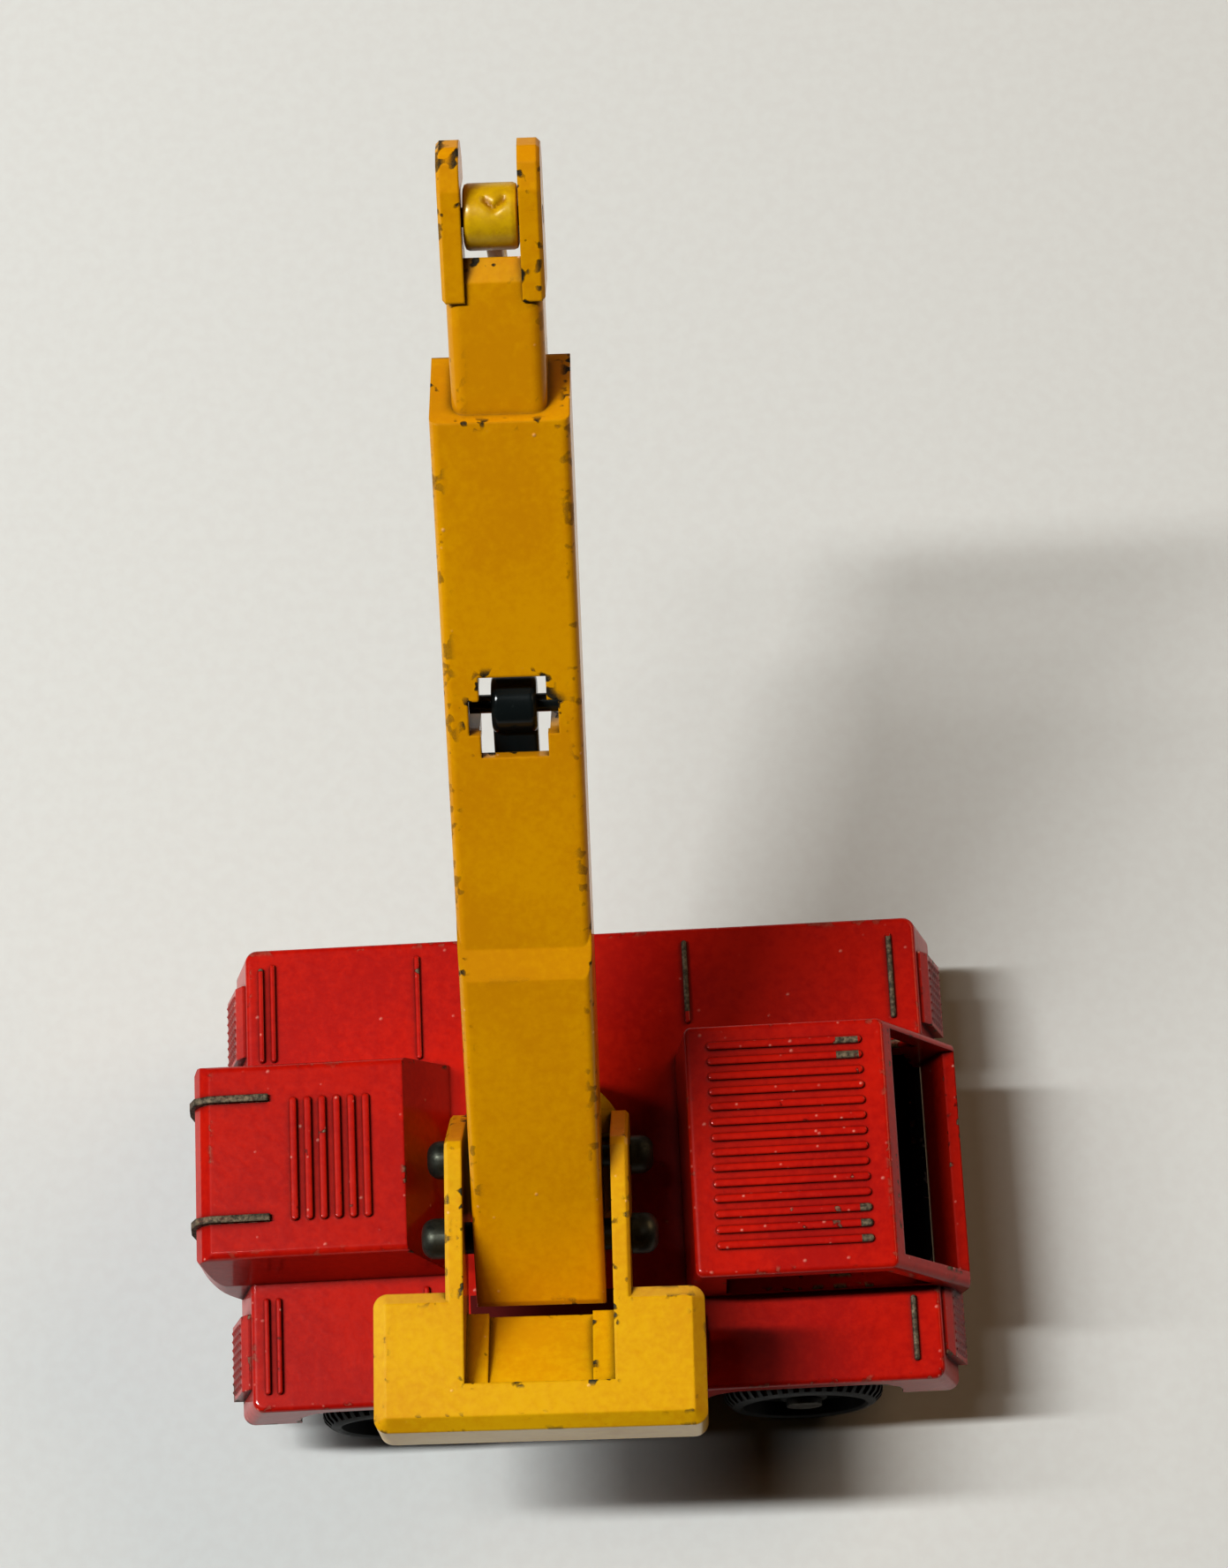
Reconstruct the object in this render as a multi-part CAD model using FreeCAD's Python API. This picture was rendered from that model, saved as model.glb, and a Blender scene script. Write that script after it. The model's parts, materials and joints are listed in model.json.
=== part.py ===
"""Small die-cast toy yard crane: red four-wheeled chassis, yellow turret and luffing boom.

World frame, millimetres: origin on the ground under the slewing axis, +X towards the
cab, +Y to the side the boom reaches over, +Z up.  The boom lies in its own frame
(a along the boom, b square to it and upwards, x across) and is then luffed and slewed.
"""
import FreeCAD
import Part
import math
import os

V = FreeCAD.Vector

# --- rest attitude -----------------------------------------------------------------
SLEW_REST = -1.22                 # degrees about +Z from square across the chassis
BOOM_ELEVATION = 39.5             # degrees above level
BOOM_PIVOT = (-5.65, 18.30)       # (along, up) in the turret frame
RAM_PIVOT = (-0.55, 16.00)
TRUNNION = (31.95, -0.20)         # ram head pivot in the boom frame (a, b)

# --- chassis casting ---------------------------------------------------------------
DECK_X = (-17.34, 22.66)
DECK_Y = (-13.58, 14.21)
DECK_TOP = 11.0
SKIRT_BOTTOM = 6.7
END_FLARE = 1.05                  # ends lean out this much at the skirt bottom
WALL = 1.1
CORNER_RADIUS = 0.7
DECK_EDGE_RADIUS = 0.3
WHEEL_X = (-9.2, 14.6)
AXLE_Z = 4.7
ARCH_HALF_WIDTH = 5.75
ARCH_CROWN = 9.85
ARCH_CORNER = 2.4
ARCH_INNER_Y = 9.3

STEP_Y = (7.74, 12.16)            # chequered step pads on the sloping ends
STEP_PROUD = 0.57
STEP_TOP = 10.2

RIB_HEIGHT = 0.25
RIB_WIDTH = 0.3
RIB_ROUNDING = 0.1                # along the top of every small rib
DECK_RIBS = (                     # (x, y from, y to)
    (-16.45, 7.2, 13.0), (-16.45, -12.6, -7.0),
    (-15.75, 7.2, 13.2), (-15.75, -12.6, -7.0),
    (-7.10, 6.95, 13.3), (-7.10, -12.65, -6.75),
    (8.90, 8.3, 13.4), (8.90, -12.65, -9.2),
    (21.10, 8.0, 13.2), (21.10, -12.5, -8.7),
)

# --- engine cover ------------------------------------------------------------------
ENGINE_ROOF = 15.92
ENGINE_ROOF_X = (-19.07, -7.83)
ENGINE_BASE_X = -5.37
ENGINE_ROOF_Y = (-5.52, 5.84)
ENGINE_BASE_Y = (-6.12, 6.44)
ENGINE_TAIL_X = -20.2
ENGINE_TAIL_BOTTOM = 6.9
ENGINE_TAIL_ROUNDING = 1.5        # in plan
LOUVRE_X = (-14.2, -10.0)
LOUVRE_COUNT = 6
LOUVRE_Y = (-3.5, 3.75)
LOUVRE_SIZE = (0.42, 0.25)        # width, height
STRAP_Y = (-3.27, 3.80)
STRAP_WIDTH = 0.4
STRAP_END_X = -15.65
STRAP_PROUD = 0.3

# --- cab ---------------------------------------------------------------------------
CAB_ROOF = 16.88
CAB_ROOF_X = (8.58, 20.02)
CAB_Y = (-8.19, 6.51)
CAB_REAR_BASE_X = 8.0
CAB_SILL = (24.57, 10.06)         # foremost edge of the nose: x, z
CAB_NOSE_BASE_X = 23.85
CAB_WALL = 0.8
CAB_CORNER = 0.45
DASH_FOOT = (22.75, 7.6)          # lower edge of the sloping inside of the nose: x, z
CAB_INNER_Y = (-7.3, 6.0)
WINDOW_X = (10.3, 19.4)
WINDOW_Z = (11.7, 15.9)
ROOF_RIB_COUNT = 14
ROOF_RIB_X = (9.85, 18.8)
ROOF_RIB_Y = (-6.45, 5.25)
ROOF_RIB_SIZE = (0.45, 0.2)

# --- underside ---------------------------------------------------------------------
POST_X = (-4.3, 5.5)
POST_RADIUS = 1.2
PLATE_BOTTOM = 3.0
PLATE_TOP = 3.9
TRAY_TOP = 6.65
TRAY_WALL = 0.8
TRAY_X = (-16.9, 22.7)
TRAY_HALF_Y = 8.9
BAY_X = (-3.6, 9.0)
BAY_Y = (-12.2, 12.8)
AXLE_RADIUS = 0.6
AXLE_HEAD = (1.05, 0.35)          # radius, thickness
AXLE_END = 13.75
KEEPER_Y = (7.0, 8.0)
RUNNING_FIT = 0.05
FIXED_FIT = 0.02
TRAY_RIVET_HEAD = (1.3, 3.05, 3.45)   # radius, z from, z to: just inside the flat base

WHEEL_RADIUS = 4.7
WHEEL_Y = (9.6, 13.8)
HUB_RADIUS = 1.4
HUB_INNER_Y = 9.05
HUB_OUTER_Y = 13.35
DISH_RADIUS = 3.6
DISH_DEPTH = 1.0

# --- turret ------------------------------------------------------------------------
DRUM_RADIUS = 5.05
DRUM_Z = (11.05, 14.2)
CHEEK_X = (4.15, 5.15)
TURRET_TOP = 22.55
WEIGHT_X = 9.19                   # half length of the counterweight bar
WEIGHT_Y = (-17.19, -9.45)
WEIGHT_BOTTOM = 17.35
WEIGHT_CHAMFER = 0.7
SLOT_LIP_Y = -10.2
SLOT_END_Y = -14.67
LEDGE_X = 2.9
SLEW_SHANK = 1.0
SLEW_HEAD = (1.8, 0.7)

# --- pins --------------------------------------------------------------------------
BOOM_PIN = (0.9, 1.15, 5.2, 6.7)  # shank radius, head radius, head from, head to
RAM_PIN = (0.6, 1.1, 5.2, 6.5)
PIN_DOME = 0.75

# --- boom --------------------------------------------------------------------------
BOOM_HALF = 3.66
BOOM_WALL = 0.9
BOOM_REAR = -3.25
BOOM_HEEL = [(-2.0, 0.6), (-2.2, -0.6), (-1.6, -1.7), (-0.6, -2.2)]   # swings clear of the cab
BOOM_TOP_REAR = 2.6
BOOM_TOP_FRONT = 2.1
BOOM_BOTTOM = -3.3
BOOM_STEP = (16.9, 18.6)
BOOM_FRONT_TOP = 48.2
BOOM_FRONT_BOTTOM = 50.3
BOOM_ROOF = 0.8
INNER_HALF = 2.5
INNER_TOP = 1.5
INNER_BOTTOM = -2.7
INNER_END = 57.0
INNER_RAMP = (55.4, 0.75)         # where the top starts to fall, and its height at the end
INNER_CHANNEL = 1.6
HEAD_X = (1.48, 2.65)
HEAD_A = (54.4, 62.5)
HOOK_A = 58.5
WINDOW_A = (29.72, 34.24)
WINDOW_HALF = 1.8
NOTCH_A = (31.0, 32.9)
NOTCH_HALF = 2.4

# --- ram and hook ------------------------------------------------------------------
RAM_BARREL = (1.35, 0.9, 20.0)    # outside radius, bore radius, reach from the pivot
RAM_COLLAR = (1.5, 1.6)           # radius, length
RAM_KNUCKLE = (1.5, 1.25)         # radius, half width
ROD_RADIUS = 0.82
ROD_LENGTH = 17.0
ROD_NECK = (1.2, 0.8, 4.8)        # half width, half thickness, length
ROD_KNUCKLE = (1.6, 1.22)
TRUNNION_SIZE = (0.5, 2.45)
HOOK_BARREL = (1.72, 1.4)         # radius, half width
HOOK_PIN_RADIUS = 0.5
HOOK_DROP = 7.2                   # pivot to the middle of the hook's bowl
HOOK_BOWL = (1.0, 1.85)           # inner and outer radius
HOOK_HALF = 0.5

PLATE_CHAMFER = 0.18              # round the outer faces of turret cheeks and boom head


# --- shape helpers -----------------------------------------------------------------
def box(x, y, z):
    """Box from three (low, high) pairs."""
    return Part.makeBox(x[1] - x[0], y[1] - y[0], z[1] - z[0], V(x[0], y[0], z[0]))


def rod_x(radius, x0, x1, y, z):
    """Cylinder along X."""
    return Part.makeCylinder(radius, x1 - x0, V(x0, y, z), V(1, 0, 0))


def rod_y(radius, x, y0, y1, z):
    """Cylinder along Y."""
    return Part.makeCylinder(radius, y1 - y0, V(x, y0, z), V(0, 1, 0))


def rod_z(radius, x, y, z0, z1):
    """Cylinder along Z."""
    return Part.makeCylinder(radius, z1 - z0, V(x, y, z0))


def prism_y(points, y):
    """Extrude an (x, z) outline along Y."""
    loop = [V(px, y[0], pz) for px, pz in points]
    return Part.Face(Part.makePolygon(loop + loop[:1])).extrude(V(0, y[1] - y[0], 0))


def prism_x(points, x):
    """Extrude a (y, z) outline along X."""
    loop = [V(x[0], py, pz) for py, pz in points]
    return Part.Face(Part.makePolygon(loop + loop[:1])).extrude(V(x[1] - x[0], 0, 0))


def fuse(shapes):
    """Union of a list of shapes, cleaned of seams."""
    return shapes[0].multiFuse(list(shapes[1:])).removeSplitter()


def spread(low, high, count):
    """Evenly spaced values including both ends."""
    return [low + (high - low) * i / (count - 1) for i in range(count)]


def mirrored(span):
    """The span and its mirror image about zero."""
    return [span, (-span[1], -span[0])]


def round_edges(shape, radius, wanted):
    """Fillet the edges picked out by the test."""
    picked = [edge for edge in shape.Edges if wanted(edge)]
    return shape.makeFillet(radius, picked)


def along(edge, axis):
    """True when a straight edge runs along the given unit direction."""
    if len(edge.Vertexes) < 2:
        return False
    line = edge.Vertexes[1].Point - edge.Vertexes[0].Point
    if line.Length < 1e-6:
        return False
    return abs(line.normalize().dot(axis)) > 0.999


def soft_plate(points, x):
    """Plate from a (y, z) outline with its outer face's rim chamfered."""
    plate = prism_x(points, x)
    outer = max(x, key=abs)
    on_face = lambda e: abs(e.BoundBox.XMin - outer) + abs(e.BoundBox.XMax - outer) < 1e-3
    return plate.makeChamfer(PLATE_CHAMFER, [e for e in plate.Edges if on_face(e)])


def rib(x, y, z):
    """Box with rounded ends and a softened top, for small cast ribs."""
    bar = box(x, y, z)
    end = min(x[1] - x[0], y[1] - y[0]) / 2 - 0.01
    bar = round_edges(bar, end, lambda e: along(e, V(0, 0, 1)))
    return round_edges(bar, RIB_ROUNDING, lambda e: e.BoundBox.ZMin > z[1] - 1e-3)


# --- chassis casting ---------------------------------------------------------------
def deck_shell():
    """Flat deck with vertical sides and ends leaning outwards."""
    outline = [
        (DECK_X[0], DECK_TOP), (DECK_X[1], DECK_TOP),
        (DECK_X[1] + END_FLARE, SKIRT_BOTTOM), (DECK_X[0] - END_FLARE, SKIRT_BOTTOM),
    ]
    shell = prism_y(outline, DECK_Y)
    upright = lambda e: abs(e.BoundBox.ZLength - (DECK_TOP - SKIRT_BOTTOM)) < 1e-3
    shell = round_edges(shell, CORNER_RADIUS, upright)
    on_top = lambda e: e.BoundBox.ZMin > DECK_TOP - 1e-3
    return round_edges(shell, DECK_EDGE_RADIUS, on_top)


def deck_cavity():
    """Hollow under the deck."""
    slope = END_FLARE * (DECK_TOP - WALL - SKIRT_BOTTOM) / (DECK_TOP - SKIRT_BOTTOM)
    top = DECK_TOP - WALL
    outline = [
        (DECK_X[0] + WALL, top), (DECK_X[1] - WALL, top),
        (DECK_X[1] - WALL + slope, SKIRT_BOTTOM), (DECK_X[0] + WALL - slope, SKIRT_BOTTOM),
    ]
    return prism_y(outline, (DECK_Y[0] + WALL, DECK_Y[1] - WALL))


def wheel_arch(x, side):
    """Pocket for one wheel, open at the skirt, with rounded upper corners."""
    y = (ARCH_INNER_Y, 16.0) if side > 0 else (-16.0, -ARCH_INNER_Y)
    arch = box((x - ARCH_HALF_WIDTH, x + ARCH_HALF_WIDTH), y, (SKIRT_BOTTOM - 1, ARCH_CROWN))
    crown = lambda e: along(e, V(0, 1, 0)) and e.BoundBox.ZMin > ARCH_CROWN - 1e-3
    return round_edges(arch, ARCH_CORNER, crown)


def step_pad(end, y):
    """Chequered step standing proud of a sloping end."""
    lean = END_FLARE / (DECK_TOP - SKIRT_BOTTOM)
    top_x = end * lean * (DECK_TOP - STEP_TOP)
    edge = DECK_X[1] if end > 0 else DECK_X[0]
    inside = edge - end * 0.5
    low = edge + end * (END_FLARE + STEP_PROUD)
    outline = [
        (inside, STEP_TOP + 0.3), (edge + top_x + end * 0.1, STEP_TOP + 0.3),
        (edge + top_x + end * STEP_PROUD, STEP_TOP - 0.3),
        (low, SKIRT_BOTTOM), (inside, SKIRT_BOTTOM),
    ]
    return prism_y(outline, y)


def deck_rib(x, y0, y1):
    """Thin raised rib across the deck."""
    half = RIB_WIDTH / 2
    return rib((x - half, x + half), (y0, y1), (DECK_TOP - 0.2, DECK_TOP + RIB_HEIGHT))


def engine_outline(grow):
    """Side outline of the engine cover, pushed outwards by grow."""
    left = ENGINE_TAIL_X - grow
    roof = ENGINE_ROOF + grow
    return [
        (-17.0, ENGINE_TAIL_BOTTOM), (-18.3 - grow, ENGINE_TAIL_BOTTOM),
        (-19.35 - grow, 9.3), (left + 0.1, 11.6), (left, 13.2),
        (left + 0.15, 14.7), (left + 0.55, roof - 0.45), (ENGINE_ROOF_X[0], roof),
        (ENGINE_ROOF_X[1], roof), (ENGINE_BASE_X, DECK_TOP), (ENGINE_BASE_X, 10.4),
        (-17.0, 10.4),
    ]


def engine_cover():
    """Tapered engine cover with its overhanging rounded tail."""
    side = prism_y(engine_outline(0), (-8, 8))
    ends = prism_x([
        (ENGINE_BASE_Y[0], 6.0), (ENGINE_BASE_Y[0], DECK_TOP),
        (ENGINE_ROOF_Y[0], ENGINE_ROOF), (ENGINE_ROOF_Y[1], ENGINE_ROOF),
        (ENGINE_BASE_Y[1], DECK_TOP), (ENGINE_BASE_Y[1], 6.0),
    ], (-21, -5))
    plan = box((ENGINE_TAIL_X - 0.01, -4), ENGINE_BASE_Y, (6, 17))
    rear = lambda e: along(e, V(0, 0, 1)) and e.BoundBox.XMax < -20
    plan = round_edges(plan, ENGINE_TAIL_ROUNDING, rear)
    cover = side.common(ends).common(plan)
    crest = lambda e: e.BoundBox.ZMin > ENGINE_ROOF - 1e-3 and e.BoundBox.XLength > 5
    return round_edges(cover, 0.45, crest)


def engine_cavity():
    """Hollow inside the engine cover, open to the chassis."""
    outline = [
        (-6.3, DECK_TOP - WALL - 0.2), (-6.3, DECK_TOP), (-8.4, 15.1),
        (-18.5, 15.1), (-19.2, 14.2), (-19.2, 12.9), (-18.4, 10.6),
        (-16.3, DECK_TOP - WALL - 0.2),
    ]
    return prism_y(outline, (-5.0, 5.2))


def louvres():
    """Raised louvres across the engine cover."""
    width, height = LOUVRE_SIZE
    z = (ENGINE_ROOF - 0.2, ENGINE_ROOF + height)
    centres = spread(LOUVRE_X[0], LOUVRE_X[1], LOUVRE_COUNT)
    return [rib((x - width / 2, x + width / 2), LOUVRE_Y, z) for x in centres]


def strap(y):
    """Raised strap running over the tail of the engine cover."""
    grown = engine_outline(STRAP_PROUD)
    tail = [point for point in grown if point[0] < -18.5 and point[1] > 11.0]
    outline = [(STRAP_END_X, 15.4)] + [(-19.0, 12.4)] + tail
    outline.append((STRAP_END_X, ENGINE_ROOF + STRAP_PROUD))
    return prism_y(outline, (y - STRAP_WIDTH / 2, y + STRAP_WIDTH / 2))


def cab_shell():
    """Cab block with a raked windscreen and a nose tucked in below the sill."""
    outline = [
        (CAB_REAR_BASE_X, 10.2), (CAB_REAR_BASE_X, DECK_TOP),
        (CAB_ROOF_X[0], CAB_ROOF), (CAB_ROOF_X[1], CAB_ROOF), CAB_SILL,
        (CAB_NOSE_BASE_X, ENGINE_TAIL_BOTTOM), (22.4, ENGINE_TAIL_BOTTOM), (22.4, 10.2),
    ]
    shell = prism_y(outline, CAB_Y)
    corner = lambda e: e.BoundBox.YLength < 1e-3 and e.BoundBox.ZMax > CAB_ROOF - 1e-3
    standing = lambda e: corner(e) and e.BoundBox.ZLength > 1
    shell = round_edges(shell, CAB_CORNER, standing)
    crest = lambda e: e.BoundBox.ZMin > CAB_ROOF - 1e-3
    return round_edges(shell, 0.3, crest)


def cab_cavity():
    """Inside of the cab with the open windscreen."""
    roof = CAB_ROOF - CAB_WALL
    outline = [
        (8.9, SKIRT_BOTTOM - 1), (8.9, DECK_TOP), (9.4, roof), (26.0, roof),
        (26.0, CAB_SILL[1]), (CAB_SILL[0] - 0.68, CAB_SILL[1]), DASH_FOOT,
        (DASH_FOOT[0], SKIRT_BOTTOM - 1),
    ]
    return prism_y(outline, CAB_INNER_Y)


def side_windows():
    """Openings through both cab sides, raked like the windscreen."""
    rake = (CAB_SILL[0] - CAB_ROOF_X[1]) / (CAB_ROOF - CAB_SILL[1])
    foot = WINDOW_X[1] + rake * (WINDOW_Z[1] - WINDOW_Z[0])
    outline = [
        (WINDOW_X[0], WINDOW_Z[0]), (WINDOW_X[0], WINDOW_Z[1]),
        (WINDOW_X[1], WINDOW_Z[1]), (foot, WINDOW_Z[0]),
    ]
    return prism_y(outline, (-9.5, 8.0))


def roof_ribs():
    """Corrugations of the cab roof."""
    width, height = ROOF_RIB_SIZE
    z = (CAB_ROOF - 0.2, CAB_ROOF + height)
    centres = spread(ROOF_RIB_Y[0], ROOF_RIB_Y[1], ROOF_RIB_COUNT)
    return [rib(ROOF_RIB_X, (y - width / 2, y + width / 2), z) for y in centres]


def axle_keepers():
    """Webs that hold each axle down into the tray."""
    webs = []
    for x in WHEEL_X:
        for y in mirrored(KEEPER_Y):
            low = AXLE_Z + AXLE_RADIUS + RUNNING_FIT
            webs.append(box((x - 1.2, x + 1.2), y, (low, DECK_TOP - WALL + 0.3)))
    return webs


def posts():
    """Hollow posts the tray rivets close into."""
    top = DECK_TOP - WALL + 0.2
    return [rod_z(POST_RADIUS, x, 0, PLATE_TOP, top) for x in POST_X]


def body_casting():
    """Deck, skirts, cab and engine cover: one casting."""
    outside = [deck_shell(), engine_cover(), cab_shell()]
    outside += [step_pad(end, y) for end in (-1, 1) for y in mirrored(STEP_Y)]
    outside += [deck_rib(*rib) for rib in DECK_RIBS]
    outside += louvres() + roof_ribs() + [strap(y) for y in STRAP_Y]
    hollow = [deck_cavity(), engine_cavity(), cab_cavity(), side_windows()]
    hollow += [wheel_arch(x, side) for x in WHEEL_X for side in (-1, 1)]
    hollow.append(rod_z(SLEW_SHANK + RUNNING_FIT, 0, 0, 9, 12))
    shell = fuse(outside).cut(fuse(hollow))
    body = fuse([shell] + axle_keepers() + posts())
    bores = [rod_z(AXLE_RADIUS + FIXED_FIT, x, 0, PLATE_TOP - 0.1, 8.4) for x in POST_X]
    return body.cut(fuse(bores))


# --- underside ---------------------------------------------------------------------
def tray_outline():
    """Plan of the tray: a long centre with a wide bay between the wheels."""
    half = TRAY_HALF_Y
    return [
        (TRAY_X[0], -half), (BAY_X[0], -half), (BAY_X[0], BAY_Y[0]), (BAY_X[1], BAY_Y[0]),
        (BAY_X[1], -half), (TRAY_X[1], -half), (TRAY_X[1], half), (BAY_X[1], half),
        (BAY_X[1], BAY_Y[1]), (BAY_X[0], BAY_Y[1]), (BAY_X[0], half), (TRAY_X[0], half),
    ]


def baseplate():
    """Shallow tray that closes the underside and cradles both axles."""
    loop = [V(x, y, PLATE_BOTTOM) for x, y in tray_outline()]
    plan = Part.Face(Part.makePolygon(loop + loop[:1]))
    outer = plan.extrude(V(0, 0, TRAY_TOP - PLATE_BOTTOM))
    inner = plan.makeOffset2D(-TRAY_WALL)
    inner.translate(V(0, 0, PLATE_TOP - PLATE_BOTTOM))
    tray = outer.cut(inner.extrude(V(0, 0, TRAY_TOP)))
    fit = AXLE_RADIUS + RUNNING_FIT
    for x in WHEEL_X:
        tray = tray.cut(rod_y(fit, x, -14, 14, AXLE_Z))
        tray = tray.cut(box((x - fit, x + fit), (-14, 14), (AXLE_Z, TRAY_TOP + 1)))
    radius, _, seat = TRAY_RIVET_HEAD
    for x in POST_X:
        tray = tray.cut(rod_z(AXLE_RADIUS + FIXED_FIT, x, 0, 2, 5))
        tray = tray.cut(rod_z(radius + RUNNING_FIT, x, 0, 2, seat))
    return tray


def tray_rivet(x):
    """Rivet closing the tray onto a post, its head sunk in the flat base."""
    radius, low, high = TRAY_RIVET_HEAD
    head = rod_z(radius, x, 0, low, high)
    head = round_edges(head, 0.2, lambda e: e.BoundBox.ZMax < low + 1e-3)
    return fuse([head, rod_z(AXLE_RADIUS, x, 0, high - 0.2, 8.0)])


def axle(x):
    """Plain axle with a peened head outside each wheel."""
    radius, thick = AXLE_HEAD
    shank = rod_y(AXLE_RADIUS, x, -AXLE_END, AXLE_END, AXLE_Z)
    heads = [rod_y(radius, x, y0, y0 + thick, AXLE_Z)
             for y0 in (-AXLE_END, AXLE_END - thick)]
    return fuse([shank] + heads)


def wheel(x, side):
    """Solid wheel with a dished outer face and a stepped hub."""
    widths = [WHEEL_Y, (WHEEL_Y[1] - DISH_DEPTH, WHEEL_Y[1]), (HUB_INNER_Y, HUB_OUTER_Y)]
    if side < 0:
        widths = [(-high, -low) for low, high in widths]
    tread, hollow, middle = widths
    tyre = rod_y(WHEEL_RADIUS, x, *tread, AXLE_Z)
    tyre = round_edges(tyre, 0.3, lambda e: isinstance(e.Curve, Part.Circle))
    dish = rod_y(DISH_RADIUS, x, *hollow, AXLE_Z)
    hub = rod_y(HUB_RADIUS, x, *middle, AXLE_Z)
    bore = rod_y(AXLE_RADIUS + RUNNING_FIT, x, -15, 15, AXLE_Z)
    return fuse([tyre.cut(dish), hub]).cut(bore)


# --- turret (turret frame: x across, y along the boom) ------------------------------
def slewed(shape):
    """Turn a shape from the turret frame to its rest attitude."""
    shape.rotate(V(0, 0, 0), V(0, 0, 1), SLEW_REST)
    return shape


def cheek_outline():
    """Side outline of a turret cheek; the lower rear edge clears cover and cab."""
    return [
        (1.7, 12.0), (2.2, 13.4), (2.3, 14.6), (2.0, 16.3), (-0.65, 21.7),
        (-0.95, 22.25), (-1.45, TURRET_TOP), (-11.0, TURRET_TOP), (-11.0, WEIGHT_BOTTOM),
        (-6.2, WEIGHT_BOTTOM), (-5.3, 16.2), (-4.6, 15.0), (-3.0, 13.0), (-2.0, 12.0),
    ]


def counterweight():
    """Cross bar with chamfered top and a slot for the boom heel."""
    bar = box((-WEIGHT_X, WEIGHT_X), WEIGHT_Y, (WEIGHT_BOTTOM, TURRET_TOP))
    corners = lambda e: along(e, V(0, 0, 1))
    bar = round_edges(bar, WEIGHT_CHAMFER + 0.1, corners)
    top = [e for e in bar.Edges if e.BoundBox.ZMin > TURRET_TOP - 1e-3]
    bar = bar.makeChamfer(WEIGHT_CHAMFER, top)
    low = lambda e: e.BoundBox.ZMax < WEIGHT_BOTTOM + 1e-3 and e.BoundBox.YMax < WEIGHT_Y[0] + 0.8
    return round_edges(bar, 0.5, low)


def slot_cut():
    """Boom slot: open at the lip, floor and side ledges rising to the rear."""
    high = TURRET_TOP + 1
    front = box((-CHEEK_X[0], CHEEK_X[0]), (SLOT_LIP_Y, 0), (WEIGHT_BOTTOM - 1, high))
    ledges = prism_x([
        (SLOT_LIP_Y, high), (SLOT_LIP_Y, 19.3), (SLOT_END_Y, 21.5), (SLOT_END_Y, high),
    ], (-CHEEK_X[0], CHEEK_X[0]))
    floor = prism_x([
        (SLOT_LIP_Y, 20.0), (SLOT_LIP_Y, 18.2), (SLOT_END_Y, 21.4), (SLOT_END_Y, high),
    ], (-LEDGE_X, LEDGE_X))
    return fuse([front, ledges, floor])


def turret_casting():
    """Drum, cheeks and counterweight: one casting."""
    solids = [rod_z(DRUM_RADIUS, 0, 0, DRUM_Z[0], DRUM_Z[1]), counterweight()]
    solids += [soft_plate(cheek_outline(), x) for x in mirrored(CHEEK_X)]
    solids += [box(x, (0.9, 2.3), (DRUM_Z[1] - 0.5, 15.4)) for x in mirrored((1.75, 4.3))]
    turret = fuse(solids).cut(slot_cut())
    shank, head, _, _ = BOOM_PIN
    turret = turret.cut(rod_x(shank + FIXED_FIT, -8, 8, *BOOM_PIVOT))
    turret = turret.cut(rod_x(RAM_PIN[0] + FIXED_FIT, -8, 8, *RAM_PIVOT))
    seat = DRUM_Z[1] - SLEW_HEAD[1] - 0.1
    turret = turret.cut(rod_z(SLEW_HEAD[0] + 0.1, 0, 0, seat, 15))
    return slewed(turret.cut(rod_z(SLEW_SHANK + FIXED_FIT, 0, 0, 10, 15)))


def slewing_rivet():
    """Rivet on the slewing axis, headed in the drum and below the washer."""
    seat = DRUM_Z[1] - SLEW_HEAD[1] - 0.1
    head = rod_z(SLEW_HEAD[0], 0, 0, seat, seat + SLEW_HEAD[1])
    tail = rod_z(1.5, 0, 0, 8.8, 9.35)
    return fuse([head, rod_z(SLEW_SHANK, 0, 0, 8.8, seat + 0.3), tail])


def slewing_washer():
    """Washer under the deck on the slewing rivet."""
    ring = rod_z(2.0, 0, 0, 9.35, DECK_TOP - WALL - RUNNING_FIT)
    return ring.cut(rod_z(SLEW_SHANK + FIXED_FIT, 0, 0, 9, 10))


def cross_pin(size, pivot):
    """Pin across the turret with a domed head standing off each cheek."""
    shank, head, start, end = size
    pieces = [rod_x(shank, -start - 0.2, start + 0.2, *pivot)]
    for sign in (-1, 1):
        low, high = sorted((sign * start, sign * end))
        cap = rod_x(head, low, high, *pivot)
        outer = lambda e: abs(e.CenterOfMass.x) > end - 1e-3
        pieces.append(round_edges(cap, PIN_DOME, outer))
    return slewed(fuse(pieces))


# --- boom (boom frame: x across, y = a, z = b) ---------------------------------------
def luffed(shape):
    """Turn a shape from the boom frame to its rest attitude."""
    shape.rotate(V(0, 0, 0), V(1, 0, 0), BOOM_ELEVATION)
    shape.translate(V(0, BOOM_PIVOT[0], BOOM_PIVOT[1]))
    return slewed(shape)


def boom_outer():
    """Main boom section: heel, shallow step down and raked front end."""
    outline = [
        (BOOM_REAR, 2.0), (BOOM_REAR, 2.15), (BOOM_REAR + 0.15, 2.45),
        (BOOM_REAR + 0.5, BOOM_TOP_REAR), (BOOM_STEP[0], BOOM_TOP_REAR),
        (BOOM_STEP[1], BOOM_TOP_FRONT), (BOOM_FRONT_TOP, BOOM_TOP_FRONT),
        (BOOM_FRONT_BOTTOM, BOOM_BOTTOM), (14.0, BOOM_BOTTOM), (7.0, BOOM_HEEL[-1][1]),
    ] + BOOM_HEEL[::-1]
    block = prism_x(outline, (-BOOM_HALF, BOOM_HALF))
    crest = lambda e: e.BoundBox.YLength > 10 and e.BoundBox.ZMin > 2.0
    return round_edges(block, 0.5, crest)


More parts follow.
